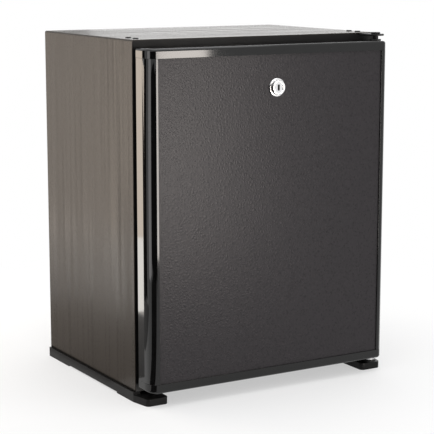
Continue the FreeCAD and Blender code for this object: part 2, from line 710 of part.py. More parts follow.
def rail_screws():
    return [screw(seat, UP, RAIL_SCREW_LENGTH) for side in (-1, 1) for seat in rail_screw_seats(side)]


# Hinges

def hinge_tongue(half_width, length, grow, z0, z1):
    """A plate from under the cabinet out to a round end about the hinge pin."""
    half = half_width + grow
    tongue = block(HINGE_X - half, HINGE_X + half, HINGE_Y, FACE_Y + length + grow, z0, z1)
    nose = rod(Vector(HINGE_X, HINGE_Y, z0), Vector(HINGE_X, HINGE_Y, z1), half)
    return tongue.fuse(nose).removeSplitter()


def plate_solid(grow):
    return hinge_tongue(TOP_PLATE_HALF_WIDTH, TOP_PLATE_LENGTH, grow, PLATE_Z - grow, SHEET_TOP_Z)


def bracket_solid(grow):
    return hinge_tongue(BRACKET_HALF_WIDTH, BRACKET_LENGTH, grow, TOE_HEIGHT, RAIL_HEIGHT)


def pin_hole(z0, z1):
    return rod(Vector(HINGE_X, HINGE_Y, z0), Vector(HINGE_X, HINGE_Y, z1), PIN_RADIUS + RUNNING_CLEARANCE)


def top_hinge_plate():
    holes = [screw_hole(seat, DOWN, HINGE_SCREW_LENGTH) for seat in top_screw_seats(1)]
    return plate_solid(0).cut(holes + [pin_hole(PLATE_Z - OVERRUN, TOP_Z)])


def top_hinge_pin():
    seat = Vector(HINGE_X, HINGE_Y, SHEET_TOP_Z)
    head = rod(seat, seat + UP * PIN_HEAD_HEIGHT, PIN_HEAD_RADIUS)
    shank = rod(Vector(HINGE_X, HINGE_Y, DOOR_TOP_Z - PIN_DEPTH), seat, PIN_RADIUS)
    return head.fuse(shank).removeSplitter()


def top_hinge_screws():
    return [screw(seat, DOWN, HINGE_SCREW_LENGTH) for seat in top_screw_seats(1)]


def hinge_hole_plugs():
    plugs = []
    for seat in top_screw_seats(-1):
        head = rod(seat, seat + UP * PLUG_HEAD_HEIGHT, SCREW_HEAD_RADIUS)
        stem = rod(seat, seat + DOWN * PLUG_STEM_LENGTH, PLUG_STEM_RADIUS)
        plugs.append(head.fuse(stem).removeSplitter())
    return plugs


def bottom_hinge_bracket():
    holes = [screw_hole(seat, UP, RAIL_SCREW_LENGTH) for seat in bracket_screw_seats()]
    return bracket_solid(0).cut(holes + [pin_hole(TOE_HEIGHT - OVERRUN, RAIL_HEIGHT + OVERRUN)])


def bottom_hinge_pin():
    root = Vector(HINGE_X, HINGE_Y, TOE_HEIGHT)
    tip = Vector(HINGE_X, HINGE_Y, DOOR_BOTTOM_Z + PIN_DEPTH)
    shoulder_top = Vector(HINGE_X, HINGE_Y, DOOR_BOTTOM_Z - BUSH_FLANGE - SEAT_CLEARANCE)
    shoulder = rod(Vector(HINGE_X, HINGE_Y, RAIL_HEIGHT), shoulder_top, SHOULDER_RADIUS)
    return rod(root, tip, PIN_RADIUS).fuse(shoulder).removeSplitter()


def bottom_hinge_screws():
    return [screw(seat, UP, RAIL_SCREW_LENGTH) for seat in bracket_screw_seats()]


def bush(rim_z, into_door):
    """A flanged bush in the door's end; into_door points from its rim into the door."""
    rim = Vector(HINGE_X, HINGE_Y, rim_z)
    sleeve = rod(rim, rim + into_door * BUSH_DEPTH, BUSH_RADIUS)
    flange = rod(rim - into_door * BUSH_FLANGE, rim, BUSH_FLANGE_RADIUS)
    hole = rod(
        rim - into_door * OVERRUN, rim + into_door * (BUSH_DEPTH + OVERRUN),
        PIN_RADIUS + RUNNING_CLEARANCE)
    return sleeve.fuse(flange).removeSplitter().cut(hole)


def door_top_bush():
    return bush(DOOR_TOP_Z, DOWN)


def door_bottom_bush():
    return bush(DOOR_BOTTOM_Z, UP)


# Door frame

def bull_nose(side_x, inward, place):
    """The quarter ellipse that rounds one front edge of the door."""
    flat_end_y = DOOR_BACK_Y - STILE_SIDE_FLAT
    centre = place(side_x + inward * BULL_NOSE_WIDTH, flat_end_y)
    front = place(side_x + inward * BULL_NOSE_WIDTH, DOOR_FRONT_Y)
    flank = place(side_x, flat_end_y)
    ellipse = Part.Ellipse(front, flank, centre)
    return Part.ArcOfEllipse(ellipse, 0, math.pi / 2).toShape()


def stile(side_x, inward):
    """A drawn section: side wall, round front edge, lip, panel slot and back flange."""
    place = level_plane(STILE_BOTTOM_Z)
    lip_end = BULL_NOSE_WIDTH + LIP_WIDTH
    slot_end = PANEL_INSET - SEAT_CLEARANCE
    slot_back_y = PANEL_BACK_Y + SEAT_CLEARANCE
    web_back_y = slot_back_y + STILE_WEB
    back_y = DOOR_BACK_Y
    flat_end_y = DOOR_BACK_Y - STILE_SIDE_FLAT
    inner_y = DOOR_BACK_Y - STILE_WALL
    profile = [
        (BULL_NOSE_WIDTH, DOOR_FRONT_Y), (lip_end, DOOR_FRONT_Y), (lip_end, PANEL_FRONT_Y),
        (slot_end, PANEL_FRONT_Y), (slot_end, slot_back_y), (lip_end, slot_back_y), (lip_end, web_back_y),
        (STILE_WEB_REACH, web_back_y), (STILE_WALL, flat_end_y), (STILE_WALL, inner_y),
        (STILE_FLANGE, inner_y), (STILE_FLANGE, back_y), (0, back_y), (0, flat_end_y),
    ]
    corners = [place(side_x + inward * reach, y) for reach, y in profile]
    edges = [Part.makeLine(here, after) for here, after in zip(corners, corners[1:])]
    edges.append(bull_nose(side_x, inward, place))
    face = Part.Face(Part.Wire(Part.__sortEdges__(edges)))
    return face.extrude(UP * (STILE_TOP_Z - STILE_BOTTOM_Z))


def door_left_stile():
    return stile(DOOR_LEFT_X, 1)


def door_right_stile():
    return stile(DOOR_RIGHT_X, -1)


def door_plan(z, tall):
    """The door's outline seen from above, as a solid."""
    place = level_plane(z)
    flat_end_y = DOOR_BACK_Y - STILE_SIDE_FLAT
    edges = [
        Part.makeLine(place(DOOR_LEFT_X, flat_end_y), place(DOOR_LEFT_X, DOOR_BACK_Y)),
        Part.makeLine(place(DOOR_LEFT_X, DOOR_BACK_Y), place(DOOR_RIGHT_X, DOOR_BACK_Y)),
        Part.makeLine(place(DOOR_RIGHT_X, DOOR_BACK_Y), place(DOOR_RIGHT_X, flat_end_y)),
        bull_nose(DOOR_RIGHT_X, -1, place),
        Part.makeLine(
            place(DOOR_RIGHT_X - BULL_NOSE_WIDTH, DOOR_FRONT_Y),
            place(DOOR_LEFT_X + BULL_NOSE_WIDTH, DOOR_FRONT_Y)),
        bull_nose(DOOR_LEFT_X, 1, place),
    ]
    face = Part.Face(Part.Wire(Part.__sortEdges__(edges)))
    return face.extrude(UP * tall)


def cap():
    """The door's top cap: round edge along its outline, hollow below, with a slot for the panel."""
    solid = door_plan(STILE_TOP_Z, CAP_HEIGHT)
    outline = [
        edge for edge in solid.Edges
        if edge.BoundBox.ZMin > STILE_TOP_Z + CAP_WALL and edge.BoundBox.YMin < DOOR_BACK_Y - CAP_WALL]
    solid = solid.makeFillet(CAP_EDGE, outline)
    pocket = block(
        DOOR_LEFT_X + PANEL_INSET - SEAT_CLEARANCE, DOOR_RIGHT_X - CAP_SOLID_END,
        PANEL_FRONT_Y, DOOR_BACK_Y - CAP_WALL, STILE_TOP_Z - OVERRUN, DOOR_TOP_Z - CAP_WALL)
    slot = block(
        DOOR_RIGHT_X - CAP_SOLID_END - OVERRUN, DOOR_RIGHT_X - PANEL_INSET + SEAT_CLEARANCE,
        PANEL_FRONT_Y, PANEL_BACK_Y + SEAT_CLEARANCE,
        STILE_TOP_Z - OVERRUN, STILE_TOP_Z + PANEL_GRIP + SEAT_CLEARANCE)
    rim = Vector(HINGE_X, HINGE_Y, DOOR_TOP_Z)
    bush_hole = rod(rim + DOWN * BUSH_DEPTH, rim + UP * OVERRUN, BUSH_RADIUS + RUNNING_CLEARANCE)
    return solid.cut([pocket, slot, bush_hole])


def door_top_rail():
    return cap()


def door_bottom_rail():
    middle = Vector(0, 0, (DOOR_TOP_Z + DOOR_BOTTOM_Z) / 2)
    return cap().mirror(middle, UP)


def lock_point(y):
    return Vector(0, y, LOCK_Z)


def lock_hole(y0, y1):
    return rod(lock_point(y0 - OVERRUN), lock_point(y1 + OVERRUN), LOCK_BARREL_RADIUS + HOLE_CLEARANCE)


def door_front_panel():
    sheet = block(
        DOOR_LEFT_X + PANEL_INSET, DOOR_RIGHT_X - PANEL_INSET, PANEL_FRONT_Y, PANEL_BACK_Y,
        STILE_BOTTOM_Z - PANEL_GRIP, STILE_TOP_Z + PANEL_GRIP)
    return sheet.cut(lock_hole(PANEL_FRONT_Y, PANEL_BACK_Y))


# Door liner, foam and gasket

def dyke_ring(shrink, y0, y1):
    """The raised ring on the door's inside, drawn in from its faces."""
    place = front_plane(y0)
    outside = rounded_face(
        DYKE_LEFT_X + shrink, DYKE_RIGHT_X - shrink, DYKE_BOTTOM_Z + shrink, DYKE_TOP_Z - shrink,
        DYKE_CORNER + DYKE_WIDTH - shrink, place)
    inside = rounded_face(
        BAY_LEFT_X - shrink, BAY_RIGHT_X + shrink, DYKE_FLOOR_Z - shrink, DYKE_TOP_Z - DYKE_WIDTH + shrink,
        DYKE_CORNER + shrink, place)
    return outside.cut(inside).extrude(BACKWARD * (y1 - y0))


def bin_floors():
    return [DYKE_FLOOR_Z + rise for rise in (LOWER_BIN_RISE, MIDDLE_BIN_RISE, UPPER_BIN_RISE)]


def door_inner_liner():
    sheet = block(
        DOOR_LEFT_X + STILE_FLANGE + SEAT_CLEARANCE, DOOR_RIGHT_X - STILE_FLANGE - SEAT_CLEARANCE,
        LINER_SHEET_Y, DOOR_BACK_Y, STILE_BOTTOM_Z, STILE_TOP_Z)
    ring = dyke_ring(0, DOOR_BACK_Y, DOOR_BACK_Y + DYKE_HEIGHT)
    hollow = dyke_ring(DOOR_LINER_WALL, LINER_SHEET_Y, DOOR_BACK_Y + DYKE_HEIGHT - DOOR_LINER_WALL)
    ledges = []
    for floor in bin_floors():
        for x in (BAY_LEFT_X, BAY_RIGHT_X - LEDGE_REACH):
            ledges.append(block(
                x, x + LEDGE_REACH, DOOR_BACK_Y, DOOR_BACK_Y + DYKE_HEIGHT - DYKE_CORNER / 2,
                floor - LEDGE_HEIGHT, floor))
    solid = sheet.fuse([ring] + ledges).removeSplitter()
    return solid.cut([hollow, lock_hole(LINER_SHEET_Y, DOOR_BACK_Y)])


def door_foam():
    inset = BULL_NOSE_WIDTH + LIP_WIDTH + SEAT_CLEARANCE
    slab = block(
        DOOR_LEFT_X + inset, DOOR_RIGHT_X - inset, PANEL_BACK_Y, LINER_SHEET_Y, STILE_BOTTOM_Z, STILE_TOP_Z)
    filling = dyke_ring(DOOR_LINER_WALL, LINER_SHEET_Y, DOOR_BACK_Y + DYKE_HEIGHT - DOOR_LINER_WALL)
    return slab.fuse(filling).removeSplitter().cut(lock_hole(PANEL_BACK_Y, LINER_SHEET_Y))


def door_gasket():
    """A magnetic seal: base strip, narrow neck and bulb, run round a mitred rectangle."""
    left = DOOR_LEFT_X + GASKET_SIDE_INSET + GASKET_BASE_WIDTH / 2
    right = DOOR_RIGHT_X - GASKET_SIDE_INSET - GASKET_BASE_WIDTH / 2
    bottom = DOOR_BOTTOM_Z + GASKET_END_INSET + GASKET_BASE_WIDTH / 2
    top = DOOR_TOP_Z - GASKET_END_INSET - GASKET_BASE_WIDTH / 2
    base_y = DOOR_BACK_Y
    neck_y = base_y + GASKET_BASE_HEIGHT
    bulb_y = neck_y + GASKET_NECK_HEIGHT
    crown_y = FACE_Y - GASKET_GAP_LEFT
    halves = [
        (GASKET_BASE_WIDTH / 2, base_y), (GASKET_BASE_WIDTH / 2, neck_y),
        (GASKET_NECK_WIDTH / 2, neck_y), (GASKET_NECK_WIDTH / 2, bulb_y),
        (GASKET_BULB_WIDTH / 2, bulb_y), (GASKET_BULB_WIDTH / 2, crown_y),
    ]
    section = [(left + reach, y) for reach, y in halves]
    section += [(left - reach, y) for reach, y in reversed(halves)]
    place = level_plane((bottom + top) / 2)
    profile = plain_face(section, place).OuterWire
    y = base_y
    path = Part.makePolygon([
        Vector(left, y, (bottom + top) / 2), Vector(left, y, top), Vector(right, y, top),
        Vector(right, y, bottom), Vector(left, y, bottom), Vector(left, y, (bottom + top) / 2)])
    return path.makePipeShell([profile], True, False, 1)


# Door bins

def bin_section(shrink, floor, tall):
    """A bin's side view: upright back, rounded toe and a front that leans out."""
    back = DOOR_BACK_Y + SEAT_CLEARANCE + shrink
    rim = DOOR_BACK_Y + BIN_DEPTH - shrink
    toe = rim - BIN_TAPER
    bottom = floor + shrink
    top = floor + tall
    return [(back, bottom), (toe - BIN_ROUND, bottom), (toe, bottom + BIN_ROUND), (rim, top), (back, top)]


def bin_form(shrink, floor, tall):
    x0 = BAY_LEFT_X + SEAT_CLEARANCE + shrink
    x1 = BAY_RIGHT_X - SEAT_CLEARANCE - shrink
    place = side_plane(x0)
    low_back, toe_start, toe_end, rim, high_back = [
        place(*point) for point in bin_section(shrink, floor, tall)]
    bulge = BIN_ROUND * (1 - math.sqrt(0.5))
    toe_middle = Vector(x0, toe_end.y - bulge, toe_start.z + bulge)
    edges = [
        Part.makeLine(low_back, toe_start),
        Part.Arc(toe_start, toe_middle, toe_end).toShape(),
        Part.makeLine(toe_end, rim),
        Part.makeLine(rim, high_back),
        Part.makeLine(high_back, low_back),
    ]
    return Part.Face(Part.Wire(edges)).extrude(Vector(x1 - x0, 0, 0))


def door_bin(floor, tall):
    return bin_form(0, floor, tall).cut(bin_form(BIN_WALL, floor, tall))


def lower_bin():
    return door_bin(bin_floors()[0], BAY_HEIGHT * LOWER_BIN_SHARE)


def middle_bin():
    return door_bin(bin_floors()[1], BAY_HEIGHT * MIDDLE_BIN_SHARE)


def upper_bin():
    return door_bin(bin_floors()[2], BAY_HEIGHT * UPPER_BIN_SHARE)


def bottle_bar():
    z = DYKE_FLOOR_Z + BAY_HEIGHT * BOTTLE_BAR_RISE_SHARE
    root_y = DOOR_BACK_Y + BOTTLE_BAR_ROOT
    bar_y = DOOR_BACK_Y + BIN_DEPTH - BOTTLE_BAR_RADIUS
    left = BAY_LEFT_X + SEAT_CLEARANCE
    right = BAY_RIGHT_X - SEAT_CLEARANCE
    side = BOTTLE_BAR_BEND + BOTTLE_BAR_RADIUS
    points = [
        Vector(left, root_y, z), Vector(left + side, root_y, z), Vector(left + side, bar_y, z),
        Vector(right - side, bar_y, z), Vector(right - side, root_y, z), Vector(right, root_y, z)]
    return pipe(points, BOTTLE_BAR_BEND, BOTTLE_BAR_RADIUS)


# Lock

def lock_body():
    """Flange, round-edged rim and barrel, turned about the lock's axis, with a bore for the plug."""
    bore = PLUG_RADIUS + RUNNING_CLEARANCE
    place = level_plane(LOCK_Z)
    flange_y = PANEL_FRONT_Y - LOCK_FLANGE
    profile = [
        (bore, LOCK_FACE_Y), (LOCK_RIM_RADIUS - LOCK_RIM_EDGE, LOCK_FACE_Y),
        (LOCK_RIM_RADIUS, LOCK_FACE_Y + LOCK_RIM_EDGE), (LOCK_RIM_RADIUS, flange_y),
        (LOCK_FLANGE_RADIUS - LOCK_RIM_EDGE, flange_y), (LOCK_FLANGE_RADIUS, flange_y + LOCK_RIM_EDGE),
        (LOCK_FLANGE_RADIUS, PANEL_FRONT_Y), (LOCK_BARREL_RADIUS, PANEL_FRONT_Y),
        (LOCK_BARREL_RADIUS, BARREL_END_Y), (bore, BARREL_END_Y),
    ]
    return turned(plain_face(profile, place), lock_point(0), BACKWARD)


def lock_nut():
    corners = []
    for i in range(6):
        turn = math.radians(60 * i)
        corners.append((LOCK_NUT_RADIUS * math.cos(turn), LOCK_Z + LOCK_NUT_RADIUS * math.sin(turn)))
    hexagon = plain_face(corners, front_plane(DOOR_BACK_Y)).extrude(BACKWARD * LOCK_NUT_THICKNESS)
    hole = rod(lock_point(DOOR_BACK_Y - OVERRUN), lock_point(FACE_Y), LOCK_BARREL_RADIUS + SEAT_CLEARANCE)
    return hexagon.cut(hole)


def cam_square(y0, y1, grow):
    half = CAM_SQUARE / 2 + grow
    return block(-half, half, y0, y1, LOCK_Z - half, LOCK_Z + half)


def lock_plug():
    front_y = LOCK_FACE_Y + PLUG_SET_BACK
    core = rod(lock_point(front_y), lock_point(CAM_Y), PLUG_RADIUS)
    tail = cam_square(CAM_Y, CAM_Y + CAM_THICKNESS, 0)
    keyway = block(
        -KEYWAY_WIDTH / 2, KEYWAY_WIDTH / 2, front_y - OVERRUN, front_y + KEYWAY_DEPTH,
        LOCK_Z - KEYWAY_HEIGHT / 2, LOCK_Z + KEYWAY_HEIGHT / 2)
    return core.fuse(tail).removeSplitter().cut(keyway)


def lock_cam():
    """A flat finger that points left when the lock is open."""
    root = rod(lock_point(CAM_Y), lock_point(CAM_Y + CAM_THICKNESS), PLUG_RADIUS + CAM_GAP)
    tip_x = CAM_HALF_WIDTH - CAM_LENGTH
    finger = block(tip_x, 0, CAM_Y, CAM_Y + CAM_THICKNESS, LOCK_Z - CAM_HALF_WIDTH, LOCK_Z + CAM_HALF_WIDTH)
    tip = rod(Vector(tip_x, CAM_Y, LOCK_Z), Vector(tip_x, CAM_Y + CAM_THICKNESS, LOCK_Z), CAM_HALF_WIDTH)
    square = cam_square(CAM_Y - OVERRUN, CAM_Y + CAM_THICKNESS + OVERRUN, SEAT_CLEARANCE)
    return root.fuse([finger, tip]).removeSplitter().cut(square)


def lock_cam_screw():
    start = lock_point(CAM_Y + CAM_THICKNESS)
    return rod(start, start + BACKWARD * CAM_SCREW_HEAD, CAM_SCREW_RADIUS)


def lock_keeper():
    """An angle on the ceiling: its short leg hangs in front of the turned cam."""
    half = KEEPER_WIDTH / 2
    front = FACE_Y + KEEPER_FRONT
    leg_back = front + KEEPER_THICKNESS
    low = LINER_CEILING_Z - KEEPER_DROP
    foot_z = LINER_CEILING_Z - KEEPER_THICKNESS
    section = [
        (front, low), (leg_back, low), (leg_back, foot_z), (front + KEEPER_FOOT, foot_z),
        (front + KEEPER_FOOT, LINER_CEILING_Z), (front, LINER_CEILING_Z)]
    return plain_face(section, side_plane(-half)).extrude(Vector(KEEPER_WIDTH, 0, 0))


# Lamp, thermostat and switch

def housing_front_y():
    return FACE_Y + HOUSING_FRONT


def lens_form(grow, z0, z1):
    left = HOUSING_LEFT + LENS_MARGIN
    front = housing_front_y() + LENS_MARGIN
    back = housing_front_y() + HOUSING_DEPTH - LENS_MARGIN
    face = rounded_face(
        left - grow, left + LENS_WIDTH + grow, front - grow, back + grow,
        LENS_CORNER + grow, level_plane(z0))
    return face.extrude(UP * (z1 - z0))


def knob_point(y):
    return Vector(HOUSING_LEFT + HOUSING_WIDTH - KNOB_SIDE, y, LINER_CEILING_Z - HOUSING_HEIGHT / 2)


def control_housing():
    bottom = LINER_CEILING_Z - HOUSING_HEIGHT
    face = rounded_face(
        HOUSING_LEFT, HOUSING_LEFT + HOUSING_WIDTH, housing_front_y(), housing_front_y() + HOUSING_DEPTH,
        HOUSING_CORNER, level_plane(bottom))
    seat = lens_form(SEAT_CLEARANCE, bottom - OVERRUN, bottom + LENS_SEAT)
    start = knob_point(housing_front_y() - OVERRUN)
    stem_hole = rod(
        start, knob_point(housing_front_y() + STEM_LENGTH + KNOB_GAP),
        STEM_RADIUS + RUNNING_CLEARANCE)
    return face.extrude(UP * HOUSING_HEIGHT).cut([seat, stem_hole])


def lamp_lens():
    bottom = LINER_CEILING_Z - HOUSING_HEIGHT
    lens = lens_form(0, bottom - LENS_PROUD, bottom + LENS_SEAT)
    low_edges = [edge for edge in lens.Edges if edge.BoundBox.ZMax < bottom]
    return lens.makeFillet(LENS_EDGE, low_edges)


def thermostat_knob():
    """A fluted knob with a raised pointer, on a stem in the housing."""
    back_y = housing_front_y() - KNOB_GAP
    front_y = back_y - KNOB_LENGTH
    axis = knob_point(0)
    place = level_plane(axis.z)
    profile = [
        (axis.x, front_y), (axis.x + KNOB_RADIUS - KNOB_EDGE, front_y),
        (axis.x + KNOB_RADIUS, front_y + KNOB_EDGE),
        (axis.x + KNOB_RADIUS, back_y), (axis.x + STEM_RADIUS, back_y),
        (axis.x + STEM_RADIUS, housing_front_y() + STEM_LENGTH), (axis.x, housing_front_y() + STEM_LENGTH)]
    knob = turned(plain_face(profile, place), axis, BACKWARD)
    flutes = []
    for i in range(KNOB_FLUTE_COUNT):
        turn = math.radians(360 * (i + 0.5) / KNOB_FLUTE_COUNT)
        offset = Vector(math.sin(turn), 0, math.cos(turn)) * (KNOB_RADIUS + KNOB_FLUTE_RADIUS / 2)
        flutes.append(rod(
            knob_point(front_y - OVERRUN) + offset, knob_point(back_y) + offset, KNOB_FLUTE_RADIUS))
    pointer = block(
        axis.x - KNOB_POINTER, axis.x + KNOB_POINTER, front_y - KNOB_POINTER, front_y + KNOB_EDGE,
        axis.z, axis.z + KNOB_RADIUS - KNOB_EDGE)
    return knob.cut(flutes).fuse(pointer).removeSplitter()


def light_switch_body():
    start = Vector(SWITCH_X, FACE_Y - OVERRUN, SWITCH_Z)
    end = Vector(SWITCH_X, FACE_Y + PLUNGER_BORE_DEPTH, SWITCH_Z)
    return switch_box(0).cut(rod(start, end, PLUNGER_RADIUS + RUNNING_CLEARANCE))


def switch_plunger():
    tip = Vector(SWITCH_X, DOOR_BACK_Y + PLUNGER_GAP, SWITCH_Z)
    tail = Vector(SWITCH_X, FACE_Y + PLUNGER_TAIL, SWITCH_Z)
    plunger = rod(tip, tail, PLUNGER_RADIUS)
    front_edges = [edge for edge in plunger.Edges if edge.BoundBox.YMax < tip.y + PLUNGER_GAP]
    return plunger.makeFillet(PLUNGER_RADIUS / 2, front_edges)


# Evaporator, gutter and drain

def evaporator_fins():
    """A plate on the back wall with upright fins, drawn as one comb section."""
    plate_front = LINER_BACK_Y - FIN_PLATE_THICKNESS
    tip = plate_front - FIN_REACH
    half = FIN_PLATE_HALF_WIDTH
    pitch = (FIN_PLATE_HALF_WIDTH * 2 - FIN_THICKNESS) / (FIN_COUNT - 1)
    comb = [(half, LINER_BACK_Y), (-half, LINER_BACK_Y)]
    for i in range(FIN_COUNT):
        x = -half + i * pitch
        comb += [(x, plate_front), (x, tip), (x + FIN_THICKNESS, tip), (x + FIN_THICKNESS, plate_front)]
    comb = comb[:2] + comb[3:-1]
    bottom = LINER_CEILING_Z - FIN_TOP_DROP - FIN_TALL
    return plain_face(comb, level_plane(bottom)).extrude(UP * FIN_TALL)


def drip_gutter():
    """A trough below the fins, with a rounded bottom front and a hole for the drain."""
    front = LINER_BACK_Y - GUTTER_DEPTH

    def trough(shrink, top):
        x0 = -GUTTER_HALF_WIDTH + shrink
        place = side_plane(x0)
        bulge = GUTTER_ROUND * (1 - math.sqrt(0.5))
        y0 = front + shrink
        y1 = LINER_BACK_Y - shrink
        bottom = GUTTER_BOTTOM_Z + shrink
        toe = Part.Arc(
            place(y0, bottom + GUTTER_ROUND), place(y0 + bulge, bottom + bulge),
            place(y0 + GUTTER_ROUND, bottom))
        edges = [
            toe.toShape(),
            Part.makeLine(place(y0 + GUTTER_ROUND, bottom), place(y1, bottom)),
            Part.makeLine(place(y1, bottom), place(y1, top)),
            Part.makeLine(place(y1, top), place(y0, top)),
            Part.makeLine(place(y0, top), place(y0, bottom + GUTTER_ROUND)),
        ]
        length = (GUTTER_HALF_WIDTH - shrink) * 2
        return Part.Face(Part.Wire(edges)).extrude(Vector(length, 0, 0))

    return trough(0, GUTTER_TOP_Z).cut([trough(GUTTER_WALL, GUTTER_TOP_Z + OVERRUN), drain_hole()])


def drain_tube():
    points = drain_points()
    return pipe(points, DRAIN_BEND, DRAIN_RADIUS).cut(pipe(points, DRAIN_BEND, DRAIN_RADIUS - DRAIN_WALL))


def drip_cup():
    rim = drain_points()[-1] + UP * CUP_OVERLAP
    bottom = rim + DOWN * CUP_TALL
    outside = rod(bottom, rim, CUP_RADIUS)
    inside = rod(bottom + UP * CUP_WALL, rim + UP * OVERRUN, CUP_RADIUS - CUP_WALL)
    lug = block(
        DRAIN_X - CUP_LUG_HALF_WIDTH, DRAIN_X + CUP_LUG_HALF_WIDTH, BACK_Y, COOLING_Y, bottom.z, rim.z)
    return outside.fuse(lug).removeSplitter().cut(inside)


# Shelves

def wire_shelf(rib_height):
    """A bent wire rim with straight wires welded on top of it, lying on a pair of ribs."""
    side = LINER_HALF - SHELF_SIDE_GAP - SHELF_RIM_RADIUS
    front = FACE_Y + RIB_FRONT + RIB_REACH + SHELF_FRONT_GAP
    back = front + SHELF_DEPTH
    z = rib_height + SEAT_CLEARANCE + SHELF_RIM_RADIUS
    start = Vector(0, front, z)
    rim = pipe([
        start, Vector(side, front, z), Vector(side, back, z),
        Vector(-side, back, z), Vector(-side, front, z),
        start], SHELF_RIM_BEND, SHELF_RIM_RADIUS)
    wire_z = z + SHELF_RIM_RADIUS + SHELF_WIRE_RADIUS - SHELF_WELD
    span = (side - SHELF_RIM_BEND) * 2
    pitch = span / (SHELF_WIRE_COUNT - 1)
    wires = []
    for i in range(SHELF_WIRE_COUNT):
        x = -span / 2 + i * pitch
        wires.append(rod(Vector(x, front, wire_z), Vector(x, back, wire_z), SHELF_WIRE_RADIUS))
    return rim.fuse(wires).removeSplitter()


def lower_shelf():
    return wire_shelf(rib_heights()[LOWER_SHELF_RIB_COUNT])


def upper_shelf():
    return wire_shelf(rib_heights()[UPPER_SHELF_RIB_COUNT])


# Cooling unit on the back

def cooling_point(x, z):
    return Vector(x, COOLING_Y, z)


def boiler_form(grow):
    return rod(
        cooling_point(BOILER_X, BOILER_BOTTOM), cooling_point(BOILER_X, BOILER_TOP_Z),
        BOILER_RADIUS + grow)


def boiler_case():
    can = boiler_form(0)
    rims = [edge for edge in can.Edges if edge.Curve.TypeId == "Part::GeomCircle"]
    return can.makeChamfer(BOILER_EDGE, rims)


def condenser_tube():
    top_z = TOP_Z - CONDENSER_DROP
    return_z = top_z - CONDENSER_RETURN
    points = [
        cooling_point(BOILER_X, BOILER_TOP_Z), cooling_point(BOILER_X, top_z),
        cooling_point(CONDENSER_LEFT, top_z),
        cooling_point(CONDENSER_LEFT, return_z), cooling_point(-COVER_HALF_WIDTH, return_z)]
    return pipe(points, CONDENSER_BEND, CONDENSER_RADIUS)


def condenser_fins():
    z = TOP_Z - CONDENSER_DROP
    fins = []
    for i in range(CONDENSER_FIN_COUNT):
        x = CONDENSER_FIN_FIRST + i * CONDENSER_FIN_PITCH
        face = rounded_face(
            COOLING_Y - CONDENSER_FIN_DEEP / 2, COOLING_Y + CONDENSER_FIN_DEEP / 2,
            z - CONDENSER_FIN_TALL / 2, z + CONDENSER_FIN_TALL / 2, CONDENSER_FIN_CORNER, side_plane(x))
        hole = rod(
            cooling_point(x - OVERRUN, z), cooling_point(x + OVERRUN, z),
            CONDENSER_RADIUS + SEAT_CLEARANCE)
        fins.append(face.extrude(Vector(CONDENSER_FIN_THICKNESS, 0, 0)).cut(hole))
    return fins


def evaporator_cover():
    """An insulated box on the back, with a plug that fills the hole in the wall."""
    face = rounded_face(
        -COVER_HALF_WIDTH, COVER_HALF_WIDTH, COVER_BOTTOM_Z, COVER_TOP_Z, COVER_CORNER, front_plane(BACK_Y))
    plug = passage(LINER_BACK_Y + LINER_WALL, BACK_Y, SEAT_CLEARANCE)
    return face.extrude(BACKWARD * COVER_DEPTH).fuse(plug).removeSplitter()


def vessel_form(grow):
    start = cooling_point(VESSEL_LEFT, VESSEL_HEIGHT)
    return rod(start, cooling_point(VESSEL_RIGHT, VESSEL_HEIGHT), VESSEL_RADIUS + grow)


def absorber_vessel():
    drum = vessel_form(0)
    rims = [edge for edge in drum.Edges if edge.Curve.TypeId == "Part::GeomCircle"]
    return drum.makeFillet(VESSEL_ROUND, rims)


def absorber_coil():
    """A tube that runs to and fro down the back, from the evaporator to the vessel."""
    points = [cooling_point(COIL_RIGHT, COVER_BOTTOM_Z)]
    for i in range(COIL_RUN_COUNT):
        z = COIL_TOP_Z - i * COIL_PITCH
        ends = (COIL_RIGHT, COIL_LEFT) if i % 2 == 0 else (COIL_LEFT, COIL_RIGHT)
        points += [cooling_point(x, z) for x in ends]
    points.append(cooling_point(COIL_RIGHT, VESSEL_HEIGHT))
    return pipe(points, COIL_PITCH * COIL_BEND_SHARE, COIL_RADIUS).cut(vessel_form(SEAT_CLEARANCE))


def solution_tube():
    start = cooling_point(VESSEL_RIGHT, VESSEL_HEIGHT)
    return rod(start, cooling_point(BOILER_X, VESSEL_HEIGHT), COIL_RADIUS).cut(boiler_form(SEAT_CLEARANCE))


def coil_strip(x):
    """A hat section that holds the coil off the rear panel."""
    low = COIL_TOP_Z - (COIL_RUN_COUNT - 1) * COIL_PITCH - COIL_PITCH / 2
    high = COIL_TOP_Z + COIL_PITCH / 2
    half = BRACKET_STRIP_WIDTH / 2
    wall = BRACKET_STRIP_WALL
    crown = COOLING_Y - COIL_RADIUS - SEAT_CLEARANCE
    right = [
        (half + BRACKET_STRIP_FOOT, BACK_Y), (half + BRACKET_STRIP_FOOT, BACK_Y + wall),
        (half, BACK_Y + wall),
        (half, crown)]
    inside = [(half - wall, BACK_Y), (half - wall, crown - wall)]
    left = [(-a, y) for a, y in reversed(right)]
    hat = right + left + [(-a, y) for a, y in inside] + list(reversed(inside))
    return plain_face([(x + a, y) for a, y in hat], level_plane(low)).extrude(UP * (high - low))


def saddle(x, z, form):
    """A block from the rear panel to a round vessel, hollowed to fit it."""
    half = SADDLE_WIDTH / 2
    solid = block(x - half, x + half, BACK_Y, COOLING_Y, z - SADDLE_TALL / 2, z + SADDLE_TALL / 2)
    return solid.cut(form)


def cooling_brackets():
    strips = [coil_strip(x) for x in BRACKET_STRIP_XS]
    vessel = [saddle(x, VESSEL_HEIGHT, vessel_form(SEAT_CLEARANCE)) for x in BRACKET_STRIP_XS]
    boiler = [
        saddle(BOILER_X, BOILER_BOTTOM + height, boiler_form(SEAT_CLEARANCE))
        for height in BOILER_SADDLE_HEIGHTS]
    return strips + vessel + boiler


